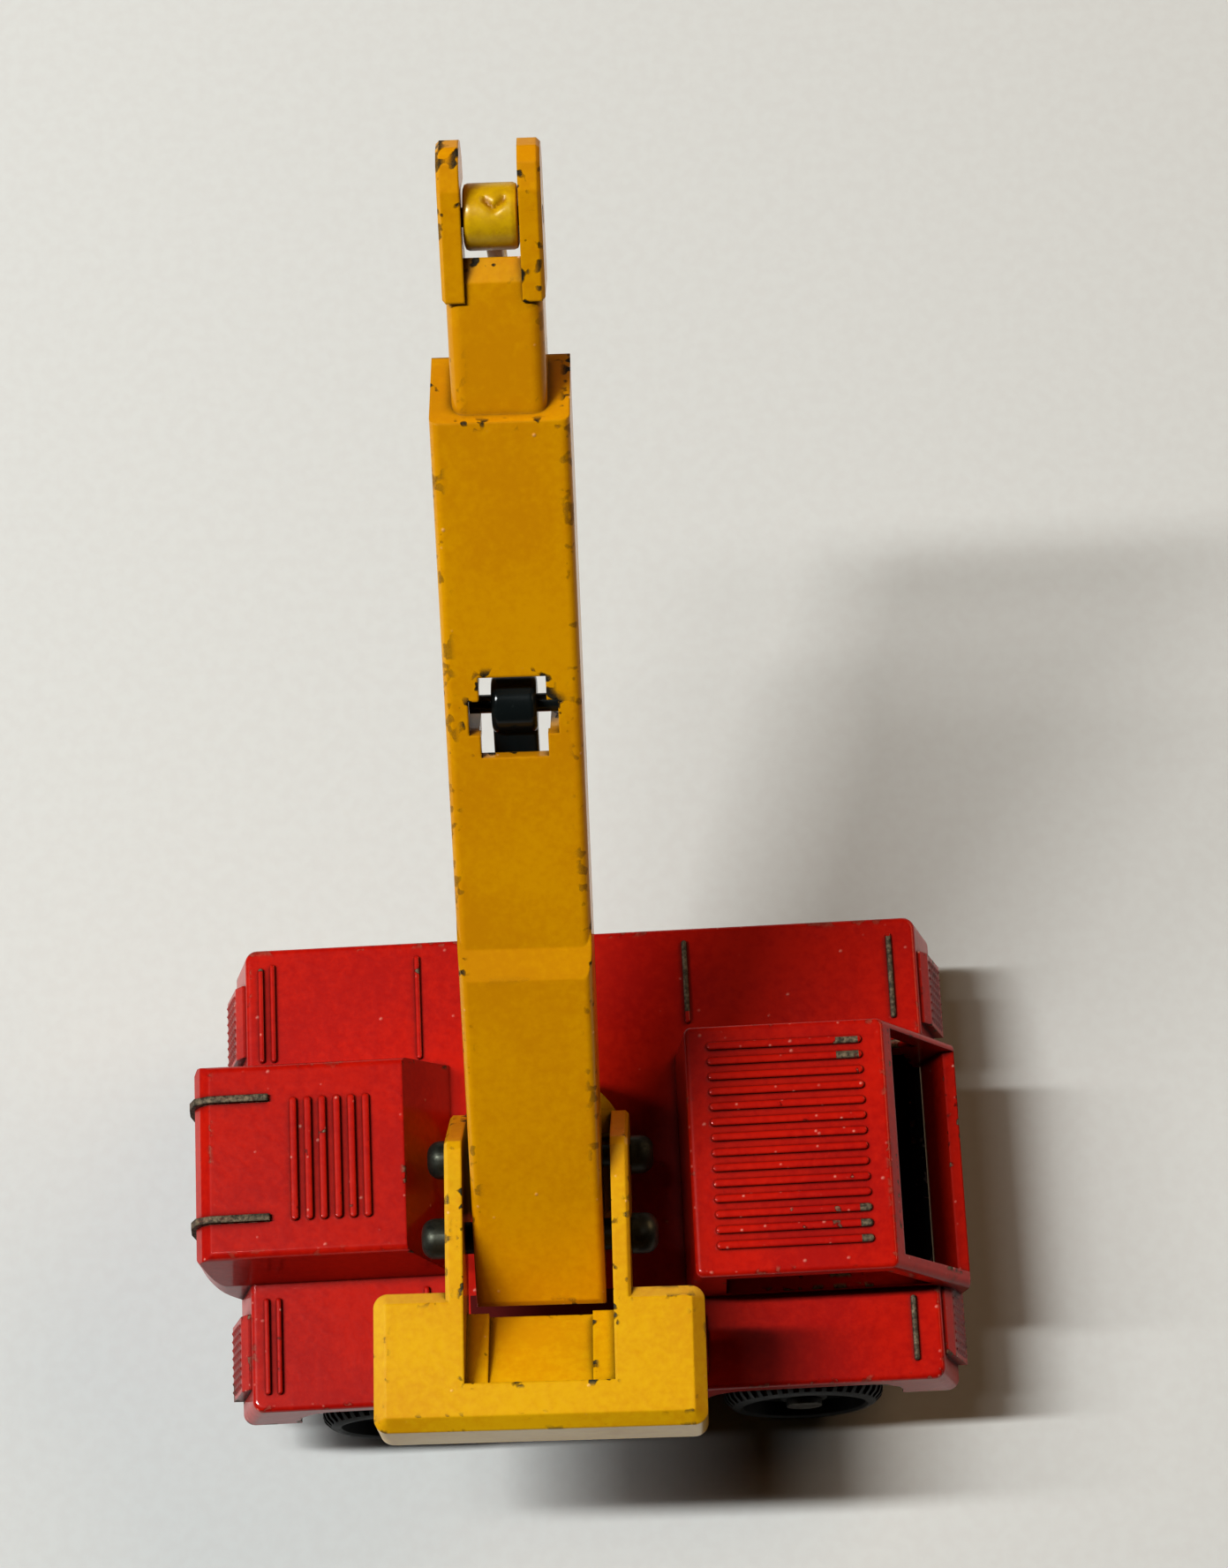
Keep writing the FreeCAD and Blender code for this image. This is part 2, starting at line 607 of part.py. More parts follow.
def boom_inner():
    """Narrower fore section."""
    block = box((-INNER_HALF, INNER_HALF), (46.0, INNER_END), (INNER_BOTTOM, INNER_TOP))
    crest = lambda e: along(e, V(0, 1, 0)) and e.BoundBox.ZMin > INNER_TOP - 1e-3
    block = round_edges(block, 0.75, crest)
    start, fall = INNER_RAMP
    return block.cut(prism_x([(start, INNER_TOP), (INNER_END, fall), (INNER_END, 3), (start, 3)],
                             (-3, 3)))


def head_outline():
    """Side outline of a boom-head cheek."""
    return [
        (HEAD_A[0], 1.7), (60.2, 1.9), (61.6, 1.6), (62.3, 0.9), (HEAD_A[1], 0.0),
        (62.2, -1.2), (61.2, -2.1), (59.8, -2.4), (HEAD_A[0], -2.7),
    ]


def channel_cuts():
    """Open underside of both sections and the sweep of the hook barrel."""
    inside = BOOM_HALF - BOOM_WALL
    rear = box((-inside, inside), (-2.1, 17.5), (-6, BOOM_TOP_REAR - 1.0))
    front = box((-inside, inside), (15.0, 46.2), (-6, BOOM_TOP_FRONT - BOOM_ROOF))
    fore = box((-INNER_CHANNEL, INNER_CHANNEL), (46.0, 60.0), (-6, INNER_TOP - BOOM_ROOF))
    sweep = rod_x(HOOK_BARREL[0] + 0.4, -HEAD_X[0], HEAD_X[0], HOOK_A, 0)
    gap = box((-HEAD_X[0], HEAD_X[0]), (HOOK_A, 64), (-6, 6))
    return fuse([rear, front, fore, sweep, gap])


def ram_seat():
    """Lugs each side of the window that take the ram trunnion."""
    inside = BOOM_HALF - BOOM_WALL
    lugs = [box(x, (WINDOW_A[0] + 0.2, WINDOW_A[1] - 0.2), (-1.4, 1.5))
            for x in mirrored((WINDOW_HALF + 0.1, inside + 0.2))]
    slot = box((-inside, inside), NOTCH_A, (-3, 1.3))
    return fuse(lugs).cut(slot)


def boom_casting():
    """Boom with both sections, head cheeks, window and pivot bosses: one casting."""
    solids = [boom_outer(), boom_inner()]
    solids += [soft_plate(head_outline(), x) for x in mirrored(HEAD_X)]
    boom = fuse(solids).cut(channel_cuts())
    inside = BOOM_HALF - BOOM_WALL
    bosses = [rod_x(1.6, x[0], x[1], 0, 0) for x in mirrored((1.9, inside + 0.2))]
    boom = fuse([boom, ram_seat()] + bosses)
    boom = boom.cut(box((-WINDOW_HALF, WINDOW_HALF), WINDOW_A, (-1, 4)))
    boom = boom.cut(box((-NOTCH_HALF, NOTCH_HALF), NOTCH_A, (0, 4)))
    boom = boom.cut(rod_x(BOOM_PIN[0] + RUNNING_FIT, -5, 5, 0, 0))
    boom = boom.cut(rod_x(HOOK_PIN_RADIUS + FIXED_FIT, -5, 5, HOOK_A, 0))
    return luffed(boom)


def hook_pin():
    """Plain pin across the boom head."""
    reach = HEAD_X[1] - 0.05
    return luffed(rod_x(HOOK_PIN_RADIUS, -reach, reach, HOOK_A, 0))


# --- ram (ram frame: x across, y along the ram from its lower pivot) ------------------
def turret_point(a, b):
    """Turret-frame (along, up) of a boom-frame point at rest."""
    angle = math.radians(BOOM_ELEVATION)
    run = a * math.cos(angle) - b * math.sin(angle)
    rise = a * math.sin(angle) + b * math.cos(angle)
    return BOOM_PIVOT[0] + run, BOOM_PIVOT[1] + rise


def ram_rest():
    """Length in millimetres and elevation in degrees of the ram at rest."""
    y, z = turret_point(*TRUNNION)
    run = y - RAM_PIVOT[0]
    rise = z - RAM_PIVOT[1]
    return math.hypot(run, rise), math.degrees(math.atan2(rise, run))


def tilted(shape):
    """Turn a shape from the ram frame to its rest attitude."""
    shape.rotate(V(0, 0, 0), V(1, 0, 0), ram_rest()[1])
    shape.translate(V(0, RAM_PIVOT[0], RAM_PIVOT[1]))
    return slewed(shape)


def ram_cylinder():
    """Ram barrel with its lower knuckle."""
    outside, bore, reach = RAM_BARREL
    radius, half = RAM_KNUCKLE
    barrel = rod_y(outside, 0, 0.5, reach, 0)
    collar = rod_y(RAM_COLLAR[0], 0, reach - RAM_COLLAR[1], reach, 0)
    knuckle = rod_x(radius, -half, half, 0, 0)
    body = fuse([barrel, collar, knuckle])
    body = body.cut(rod_y(bore, 0, 8.0, reach + 1, 0))
    return tilted(body.cut(rod_x(RAM_PIN[0] + RUNNING_FIT, -3, 3, 0, 0)))


def ram_rod():
    """Ram rod with the trunnion head that lifts the boom."""
    length = ram_rest()[0]
    radius, half = ROD_KNUCKLE
    rod = rod_y(ROD_RADIUS, 0, length - ROD_LENGTH, length - 0.5, 0)
    wide, thick, neck_length = ROD_NECK
    neck = box((-wide, wide), (length - neck_length, length), (-thick, thick))
    neck = round_edges(neck, 0.3, lambda e: along(e, V(0, 1, 0)))
    head = rod_x(radius, -half, half, length, 0)
    rims = lambda e: isinstance(e.Curve, Part.Circle)
    head = round_edges(head, 0.35, rims)
    trunnion = rod_x(TRUNNION_SIZE[0], -TRUNNION_SIZE[1], TRUNNION_SIZE[1], length, 0)
    return tilted(fuse([rod, neck, head, trunnion]))


# --- hook (hook frame: pivot at the origin, hanging along -z) -------------------------
def hook():
    """Hook moulded with its cross barrel, hanging from the boom head."""
    radius, half = HOOK_BARREL
    inner, outer = HOOK_BOWL
    barrel = rod_x(radius, -half, half, 0, 0)
    rims = lambda e: isinstance(e.Curve, Part.Circle)
    barrel = round_edges(barrel, 0.25, rims)
    shank = prism_x([
        (-0.55, 0), (-0.55, -HOOK_DROP + inner + 1.2), (-0.2, -HOOK_DROP + inner + 0.4),
        (0.35, -HOOK_DROP + inner), (0.55, -HOOK_DROP + inner + 1.2), (0.55, 0),
    ], (-HOOK_HALF, HOOK_HALF))
    ring = rod_x(outer, -HOOK_HALF, HOOK_HALF, 0, -HOOK_DROP)
    ring = ring.cut(rod_x(inner, -1, 1, 0, -HOOK_DROP))
    throat = prism_x([
        (-0.35, -HOOK_DROP + 0.1), (-0.35, -HOOK_DROP + 3), (-3, -HOOK_DROP + 3),
        (-3, -HOOK_DROP + 0.1),
    ], (-1, 1))
    body = fuse([barrel, shank, ring.cut(throat)])
    body = body.cut(rod_x(HOOK_PIN_RADIUS + RUNNING_FIT, -3, 3, 0, 0))
    body.translate(V(0, *turret_point(HOOK_A, 0)))
    return slewed(body)


NODES = {
    "body_casting": body_casting,
    "baseplate": baseplate,
    "rear_rivet": lambda: tray_rivet(POST_X[0]),
    "front_rivet": lambda: tray_rivet(POST_X[1]),
    "rear_axle": lambda: axle(WHEEL_X[0]),
    "front_axle": lambda: axle(WHEEL_X[1]),
    "wheel_rear_left": lambda: wheel(WHEEL_X[0], 1),
    "wheel_rear_right": lambda: wheel(WHEEL_X[0], -1),
    "wheel_front_left": lambda: wheel(WHEEL_X[1], 1),
    "wheel_front_right": lambda: wheel(WHEEL_X[1], -1),
    "slewing_rivet": slewing_rivet,
    "slewing_washer": slewing_washer,
    "turret_casting": turret_casting,
    "boom_pin": lambda: cross_pin(BOOM_PIN, BOOM_PIVOT),
    "ram_pin": lambda: cross_pin(RAM_PIN, RAM_PIVOT),
    "boom_casting": boom_casting,
    "hook_pin": hook_pin,
    "ram_cylinder": ram_cylinder,
    "ram_rod": ram_rod,
    "hook": hook,
}

os.makedirs("parts", exist_ok=True)
for name, build in NODES.items():
    solid = build()
    solid.exportStep("parts/" + name + ".step")
    bounds = solid.BoundBox
    print(name, "solids", len(solid.Solids), "valid", solid.isValid(),
          "x %.2f %.2f" % (bounds.XMin, bounds.XMax),
          "y %.2f %.2f" % (bounds.YMin, bounds.YMax),
          "z %.2f %.2f" % (bounds.ZMin, bounds.ZMax), "volume %.1f" % solid.Volume)
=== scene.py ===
"""Looks for the small die-cast toy yard crane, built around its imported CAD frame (metres)."""
import bpy
import bmesh
import json
import math
from mathutils import Matrix, Vector


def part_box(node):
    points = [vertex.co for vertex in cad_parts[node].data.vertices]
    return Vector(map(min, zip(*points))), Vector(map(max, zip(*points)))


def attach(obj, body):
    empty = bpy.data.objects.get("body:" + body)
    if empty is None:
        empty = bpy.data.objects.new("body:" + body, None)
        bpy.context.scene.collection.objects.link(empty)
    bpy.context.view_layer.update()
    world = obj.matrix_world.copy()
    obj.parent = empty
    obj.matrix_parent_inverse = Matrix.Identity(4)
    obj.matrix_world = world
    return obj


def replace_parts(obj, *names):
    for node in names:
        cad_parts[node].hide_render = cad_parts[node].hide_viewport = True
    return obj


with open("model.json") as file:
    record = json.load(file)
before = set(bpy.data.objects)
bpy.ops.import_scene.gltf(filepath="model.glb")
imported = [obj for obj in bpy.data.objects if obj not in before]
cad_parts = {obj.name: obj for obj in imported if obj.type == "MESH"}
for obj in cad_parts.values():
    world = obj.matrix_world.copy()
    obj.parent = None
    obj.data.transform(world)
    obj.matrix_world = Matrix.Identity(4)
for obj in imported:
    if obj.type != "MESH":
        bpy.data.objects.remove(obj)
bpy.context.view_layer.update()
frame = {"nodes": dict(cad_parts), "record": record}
MM = 0.001


# --- node helpers ------------------------------------------------------------------
class Shader:
    """A principled material with short calls that add and join nodes."""

    def __init__(self, name, roughness, **fixed):
        self.material = bpy.data.materials.new(name)
        self.material.use_nodes = True
        self.tree = self.material.node_tree
        self.bsdf = self.tree.nodes["Principled BSDF"]
        self.bsdf.inputs["Roughness"].default_value = roughness
        for key, value in fixed.items():
            self.bsdf.inputs[key.replace("_", " ")].default_value = value
        self.where = self.add("ShaderNodeTexCoord").outputs["Object"]
        self.axes = self.add("ShaderNodeSeparateXYZ", Vector=self.where).outputs

    def add(self, kind, settings=None, **inputs):
        """New node whose inputs are values or output sockets, named or numbered (i0, i1)."""
        node = self.tree.nodes.new(kind)
        for key, value in (settings or {}).items():
            setattr(node, key, value)
        for key, value in inputs.items():
            name = key.replace("_", " ")
            socket = node.inputs[int(key[1:])] if key[1:].isdigit() else node.inputs[name]
            self.put(socket, value)
        return node

    def put(self, socket, value):
        """Set a socket to a value or join it to an output."""
        if isinstance(value, bpy.types.NodeSocket):
            self.tree.links.new(value, socket)
        else:
            socket.default_value = value

    def drive(self, name, value):
        """Feed one of the principled shader's inputs."""
        self.put(self.bsdf.inputs[name], value)

    def noise(self, size_mm, detail=3.0, roughness=0.5, distortion=0.0):
        """Noise value whose blobs are about size_mm across."""
        node = self.add("ShaderNodeTexNoise", Vector=self.where, Scale=1 / (size_mm * MM),
                        Detail=detail, Roughness=roughness, Distortion=distortion)
        return node.outputs["Fac"]

    def nibs(self, spacing_mm, radius, share):
        """Sparse round specks: 1 at the middle of a chosen cell, 0 elsewhere."""
        cells = self.add("ShaderNodeTexVoronoi", Vector=self.where, Scale=1 / (spacing_mm * MM))
        spot = self.step(cells.outputs["Distance"], 0.0, radius, 1.0, 0.0)
        pick = self.add("ShaderNodeSeparateColor", Color=cells.outputs["Color"]).outputs[0]
        return self.math("MULTIPLY", spot, self.math("GREATER_THAN", pick, 1 - share))

    def math(self, operation, a, b=0.0, c=0.0):
        """One math node."""
        return self.add("ShaderNodeMath", {"operation": operation}, i0=a, i1=b, i2=c).outputs[0]

    def band(self, axis, low_mm, high_mm):
        """1 where the position along an axis lies between two values."""
        middle = (low_mm + high_mm) / 2 * MM
        half = (high_mm - low_mm) / 2 * MM
        return self.math("COMPARE", self.axes["XYZ".index(axis)], middle, half)

    def total(self, *terms):
        """Sum of (value, weight) pairs."""
        result = 0.0
        for value, weight in terms:
            result = self.math("MULTIPLY_ADD", value, weight, result)
        return result

    def step(self, value, low, high, to_low=0.0, to_high=1.0):
        """Smooth step from low to high."""
        node = self.add("ShaderNodeMapRange", {"interpolation_type": "SMOOTHSTEP"}, Value=value,
                        From_Min=low, From_Max=high, To_Min=to_low, To_Max=to_high)
        return node.outputs["Result"]

    def mix(self, factor, a, b):
        """Blend two colours."""
        node = self.add("ShaderNodeMix", {"data_type": "RGBA"})
        self.put(node.inputs[0], factor)
        self.put(node.inputs[6], a)
        self.put(node.inputs[7], b)
        return node.outputs[2]

    def shelter(self, reach_mm, inside):
        """0 on open flats, rising in corners (inside False) or on outer edges (inside True)."""
        node = self.add("ShaderNodeAmbientOcclusion",
                        {"samples": 5, "inside": inside, "only_local": True},
                        Distance=reach_mm * MM)
        return self.math("SUBTRACT", 1.0, node.outputs["AO"])

    def bump(self, height, strength, distance_mm, soften_mm):
        """Surface relief over edges softened by a small rounding."""
        rounded = self.add("ShaderNodeBevel", {"samples": 4}, Radius=soften_mm * MM)
        node = self.add("ShaderNodeBump", Strength=strength, Distance=distance_mm * MM,
                        Height=height, Normal=rounded.outputs[0])
        self.drive("Normal", node.outputs["Normal"])


WHITE = 0.75                      # share of the light sent back where the colour is screen white


def linear(value):
    """Linear light of a 0-255 screen value, by the sRGB curve."""
    share = value / 255
    if share < 0.0404:
        return share / 12.92
    return ((share + 0.055) / 1.055) ** 2.4


def rgb(red, green, blue):
    """Opaque colour from 0-255 screen values."""
    return (*(WHITE * linear(value) for value in (red, green, blue)), 1.0)


# --- materials ---------------------------------------------------------------------
RIB_TOPS = ((11.03, 11.27), (15.94, 16.25), (16.91, 17.1))   # height bands of the small ribs, mm
BARE_SPOTS = (                    # x, y and z runs rubbed down to the metal, mm
    ((-21.0, -15.62), (-3.50, -3.04), (11.3, 16.4)),          # near strap of the engine cover
    ((-21.0, -15.62), (3.57, 4.03), (11.3, 16.4)),            # its far strap
    ((8.6, 9.2), (9.0, 13.4), (11.02, 11.4)),                 # far deck ribs
    ((20.8, 21.4), (7.5, 13.0), (11.02, 11.4)),
    ((20.7, 21.5), (-13.3, -8.6), (11.02, 11.4)),             # near deck rib at the front
    ((18.1, 18.9), (-6.8, -4.4), (17.02, 17.2)),              # ends of roof ribs at two corners
    ((17.3, 18.6), (3.9, 5.4), (17.02, 17.2)),
)
DECK_SHADOW_PATCH = ((-4.6, 4.6), (-11.2, -7.4), (10.8, 11.2))   # painted shadow on the deck below the turret's slot


def dark(colour, share):
    """A darker shade of a colour."""
    return (*(c * share for c in colour[:3]), 1.0)


def rib_mask(m):
    """1 on the small ribs of the body casting."""
    return m.total(*((m.band("Z", low, high), 1.0) for low, high in RIB_TOPS))


def spot_mask(m, spot):
    """1 inside a box given by its x, y and z runs."""
    along, across, upward = (m.band(axis, *run) for axis, run in zip("XYZ", spot))
    return m.math("MULTIPLY", m.math("MULTIPLY", along, across), upward)


# painted shade darkens the inner corners and also roughens them like grime
SHADE_AND_GRIME_REACH = 0.7                 # mm from an inner corner
PAINTED_SHADE_DEPTH = 0.85
RIB_GUARD = 0.22                  # share of edge wear that the small ribs are spared
CLOUD_SIZE = 9.0                  # mm, slow drift of the paint's shade
GRAIN_SIZE = 0.45
PEEL_SIZE = 0.9                   # ripples of thick enamel
PATCH_SIZE = 2.6                  # stretches of edge that chip together
CHIP_SIZE = 0.6
EDGE_WEAR = 0.62
PATCH_WEAR = 0.8
CHIP_WEAR = 0.95
SPOT_WEAR = 0.85                  # added inside the bare spots
CHIP_RIM = 0.04                   # dark outline round a chip, in wear
NIB_PITCH = 1.25                  # mm between the cells that may hold a speck
NIB_RADIUS = 0.12
CRUMB_PITCH = 0.55                # the same, for crumbs along edges
CRUMB_RADIUS = 0.22
# colour of the painted highlights on the specks and edge crumbs
GLINT = (0.95, 0.62, 0.5, 1)


def enamel(name, colour, shade, bare, raw, reach, ease, specks, castings):
    """Thick gloss enamel over a zinc casting, chipped on outer edges, with painted shade darkening
    its inner corners, which are also roughened like grime.

    Chips show where wear passes ease, reach is how far in from an edge (mm) wear goes, specks is
    the share of cells with a speck carrying a painted glint, and castings adds the body casting's own
    spots and ribs and a painted shadow on the deck below the turret's slot.
    """
    m = Shader(name, 0.3, Coat_Roughness=0.09, Coat_IOR=1.5, Specular_IOR_Level=0.12)
    cloud = m.noise(CLOUD_SIZE, 3.0)
    grain = m.noise(GRAIN_SIZE, 3.0, 0.6)
    paint = m.mix(m.step(m.total((cloud, 0.6), (grain, 0.4)), 0.36, 0.64), colour, shade)
    # painted shade in inner corners; it also roughens them like grime
    shade_and_grime = m.step(m.shelter(SHADE_AND_GRIME_REACH, False), 0.12, 0.55)
    if castings:
        # painted shadow on the deck below the turret's slot
        shade_and_grime = m.math("MAXIMUM", shade_and_grime, spot_mask(m, DECK_SHADOW_PATCH))
    paint = m.mix(m.math("MULTIPLY", shade_and_grime, PAINTED_SHADE_DEPTH), paint, dark(shade, 0.06))

    edge = m.step(m.shelter(reach, True), 0.05, 0.19)
    if castings:
        edge = m.math("MULTIPLY", edge, m.total((rib_mask(m), -RIB_GUARD), (1.0, 1.0)))
    patches = m.noise(PATCH_SIZE, 1.0)
    ragged = m.noise(CHIP_SIZE, 1.6, 0.45)
    wear = m.total((edge, EDGE_WEAR), (patches, PATCH_WEAR), (ragged, CHIP_WEAR))
    if castings:
        wear = m.total((wear, 1.0), *((spot_mask(m, spot), SPOT_WEAR) for spot in BARE_SPOTS))
    rim = m.step(wear, ease - CHIP_RIM, ease - CHIP_RIM / 4)
    chip = m.step(wear, ease, ease + CHIP_RIM / 2)
    nib_and_glint = m.nibs(NIB_PITCH, NIB_RADIUS, specks)
    crumb_and_glint = m.math("MULTIPLY", m.nibs(CRUMB_PITCH, CRUMB_RADIUS, specks), edge)

    metal = m.mix(m.step(m.noise(0.3, 4.0, 0.7), 0.35, 0.7), bare, raw)
    # painted highlights on the specks and on crumbs along edges
    paint = m.mix(m.total((nib_and_glint, 0.3), (crumb_and_glint, 0.6)), paint, GLINT)
    paint = m.mix(m.math("MULTIPLY", rim, 0.7), paint, dark(shade, 0.12))
    m.drive("Base Color", m.mix(chip, paint, metal))
    m.drive("Metallic", m.math("MULTIPLY", chip, 0.35))
    gloss = m.step(cloud, 0.3, 0.7, 0.28, 0.4)
    m.drive("Roughness", m.total((gloss, 1.0), (shade_and_grime, 0.3), (chip, 0.25)))
    m.drive("Coat Weight", m.step(m.total((chip, 1.0), (shade_and_grime, 0.6)), 0.0, 0.6, 0.5, 0.0))

    peel = m.noise(PEEL_SIZE, 2.0)
    relief = m.total((peel, 0.4), (grain, 0.15), (nib_and_glint, 1.6), (crumb_and_glint, 1.2), (chip, -1.3))
    m.bump(relief, 0.5, 0.045, 0.2)
    return m.material


def plastic(name, colour, roughness, worn, softness):
    """Moulded plastic with fine grain and paler scuffed edges."""
    m = Shader(name, roughness, Specular_IOR_Level=0.45)
    cloud = m.noise(3.0, 3.0)
    edge = m.step(m.shelter(0.3, True), 0.1, 0.5)
    scuff = m.step(m.total((m.noise(0.5, 4.0, 0.65), 1.0), (edge, 0.28)), 0.62, 0.86)
    m.drive("Base Color", m.mix(scuff, colour, worn))
    m.drive("Roughness", m.step(cloud, 0.3, 0.7, roughness * 0.8, roughness * 1.25))
    m.bump(m.total((m.noise(0.16, 2.0), 0.6), (m.nibs(0.9, 0.15, 0.2), 0.8)), 0.3, 0.02, softness)
    return m.material


def moulding(name, colour, stain):
    """Glossy hook plastic, with painted shade browning its dents and a random brown mottle."""
    m = Shader(name, 0.3, Specular_IOR_Level=0.42)
    # painted shade: browner in the dents
    dent = m.step(m.shelter(0.5, False), 0.04, 0.3)
    mottle = m.step(m.noise(0.5, 3.0, 0.6), 0.35, 0.7, 0.0, 0.22)
    m.drive("Base Color", m.mix(m.total((dent, 0.8), (mottle, 1.0)), colour, stain))
    m.drive("Roughness", m.step(m.noise(1.0, 3.0), 0.3, 0.7, 0.26, 0.42))
    m.bump(m.noise(0.2, 3.0), 0.3, 0.02, 0.1)
    return m.material


def steel(name, colour, roughness, stain):
    """Tumbled steel with stains, pits and fine scratches."""
    m = Shader(name, roughness, Metallic=0.85)
    cloud = m.noise(1.1, 4.0, 0.6)
    m.drive("Base Color", m.mix(m.step(cloud, 0.4, 0.68), colour, stain))
    m.drive("Roughness", m.step(cloud, 0.3, 0.7, roughness * 0.8, roughness * 1.4))
    m.bump(m.total((m.noise(0.12, 3.0), 0.7), (m.nibs(0.5, 0.2, 0.25), -0.6)), 0.35, 0.02, 0.1)
    return m.material


def paper(name):
    """Plain pale floor with a faint fibre grain."""
    m = Shader(name, 0.9)
    fibre = m.noise(0.8, 4.0)
    m.drive("Base Color", m.mix(m.step(fibre, 0.3, 0.7), rgb(222, 221, 219), rgb(224, 224, 222)))
    bump = m.add("ShaderNodeBump", Strength=0.06, Distance=0.02 * MM, Height=fibre)
    m.drive("Normal", bump.outputs["Normal"])
    return m.material


MATERIALS = {
    "red_paint": enamel("red_paint", rgb(206, 36, 14), rgb(184, 20, 8), rgb(74, 68, 58),
                        rgb(150, 134, 112), 0.35, 1.65, 0.5, True),
    "yellow_paint": enamel("yellow_paint", rgb(236, 186, 14), rgb(226, 168, 6), rgb(62, 62, 52),
                           rgb(92, 86, 66), 0.4, 1.66, 0.14, False),
    # the yellow paint made darker and more orange for the boom as painted shade, with its chips
    # reaching further in and darker
    "shaded_boom_paint": enamel("shaded_boom_paint", rgb(232, 170, 3), rgb(222, 156, 2), rgb(44, 38, 30),
                         rgb(74, 66, 50), 0.6, 1.66, 0.14, False),
    # darker copy of the red paint for the step pads: painted shade
    "shaded_pad_paint": enamel("shaded_pad_paint", rgb(168, 26, 12), rgb(128, 14, 8), rgb(60, 54, 46),
                        rgb(110, 98, 82), 0.35, 1.7, 0.3, False),
    "base_paint": enamel("base_paint", rgb(26, 26, 27), rgb(20, 20, 21), rgb(95, 92, 88),
                         rgb(140, 136, 130), 0.4, 1.62, 0.2, False),
    "bright_steel": steel("bright_steel", rgb(150, 148, 142), 0.36, rgb(96, 92, 84)),
    "dark_steel": steel("dark_steel", rgb(82, 83, 74), 0.48, rgb(48, 48, 42)),
    "black_plastic": plastic("black_plastic", rgb(18, 19, 19), 0.5, rgb(44, 45, 44), 0.05),
    "ram_plastic": plastic("ram_plastic", rgb(28, 34, 34), 0.2, rgb(60, 66, 64), 0.08),
    # the brown serves the painted shade in the hook's dents and its random mottle
    "hook_plastic": moulding("hook_plastic", rgb(226, 184, 14), rgb(150, 84, 4)),
}


OWN_LOOKS = {"boom_casting": "shaded_boom_paint"}      # nodes whose paint differs from their slot's: the boom's yellow is darker and more orange as painted shade


def paint_nodes():
    """Give every CAD node the material of its slot, or its own where it has one."""
    for part in frame["record"]["subparts"]:
        name = part["node"]
        node = frame["nodes"][name]
        node.data.materials.clear()
        node.data.materials.append(MATERIALS[OWN_LOOKS.get(name, part["material_slot"])])


# --- modelled pieces ---------------------------------------------------------------
CREASE = 34                       # degrees; sharper edges stay sharp


def add_piece(name, points, faces, slot, body, look=None):
    """Mesh piece in world millimetres, riding a body; look names a paint other than the slot's."""
    mesh = bpy.data.meshes.new(name)
    mesh.from_pydata([Vector(p) * MM for p in points], [], faces)
    tidy = bmesh.new()
    tidy.from_mesh(mesh)
    bmesh.ops.recalc_face_normals(tidy, faces=tidy.faces)
    tidy.to_mesh(mesh)
    tidy.free()
    mesh.shade_smooth()
    mesh.set_sharp_from_angle(angle=math.radians(CREASE))
    mesh.materials.append(MATERIALS[look or slot])
    piece = bpy.data.objects.new(name, mesh)
    bpy.context.scene.collection.objects.link(piece)
    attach(piece, body)
    return piece


def loft(rings, closed):
    """Quads joining a list of equal rings of point numbers; closed joins the last to the first."""
    count = len(rings[0])
    last = len(rings) if closed else len(rings) - 1
    faces = []
    for i in range(last):
        here, there = rings[i], rings[(i + 1) % len(rings)]
        for j in range(count):
            k = (j + 1) % count
            faces.append((here[j], here[k], there[k], there[j]))
    return faces


LUGS = 42
LUG_DEPTH = 0.3
LUG_STEPS = (                     # share of the pitch, 1 where row 2 has a gap and row 1 a lug
    (0.0, 0), (0.12, 1), (0.5, 1), (0.62, 0),
)
WHEEL_PROFILE = (                 # mm in from the outer face, radius, row of lugs (0 none)
    (4.75, 0.66, 0), (4.75, 1.40, 0), (4.20, 1.45, 0), (4.20, 3.90, 0), (4.05, 4.30, 0),
    (3.75, 4.58, 1), (3.50, 4.70, 1), (2.35, 4.70, 1), (2.25, 4.40, 0), (1.95, 4.40, 0),
    (1.85, 4.70, 2), (0.75, 4.70, 2), (0.45, 4.58, 2), (0.14, 4.25, 0), (0.00, 3.98, 0),
    (0.00, 3.78, 0), (0.12, 3.62, 0), (0.95, 3.50, 0), (1.00, 3.35, 0), (1.00, 1.60, 0),
    (0.95, 1.42, 0), (0.52, 1.38, 0), (0.45, 1.28, 0), (0.45, 0.66, 0),
)


def treaded_wheel(node, body):
    """Wheel with two staggered rows of tread lugs, a dished face and a stepped hub."""
    low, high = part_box(node)
    centre = (low + high) / 2 / MM
    side = math.copysign(1, centre.y)
    face = max(abs(low.y), abs(high.y)) / MM
    points, rings = [], []
    for lug in range(LUGS):
        for share, row_2_gap in LUG_STEPS:
            angle = math.tau * (lug + share) / LUGS
            ring = []
            for inset, radius, row in WHEEL_PROFILE:
                cut = row and (row_2_gap if row == 2 else 1 - row_2_gap)
                reach = radius - LUG_DEPTH * cut
                ring.append(len(points))
                points.append((centre.x + reach * math.cos(angle), side * (face - inset),
                               centre.z + reach * math.sin(angle)))
            rings.append(ring)
    wheel = add_piece("treaded_" + node, points, loft(rings, True), "black_plastic", body)
    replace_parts(wheel, node)


PAD_Y = (7.95, 11.95)             # mm from the middle, both sides
PAD_Z = (6.95, 9.75)
PAD_PITCH = 0.5                   # mm from one diamond to the next
PAD_CELLS = 4                     # mesh cells per diamond
PAD_HEIGHT = 0.13
PAD_SKIN = 0.01                   # between diamonds, above the casting
PAD_ROOT = -0.05                  # pad's border, sunk into the casting
BEYOND_ENDS = 40                  # mm from the middle, past both ends of the toy


def off_centre(count):
    """0 where a row or column of the mesh crosses a diamond's middle, 1 between diamonds."""
    middle = PAD_CELLS / 2
    return abs(count % PAD_CELLS - middle) / middle


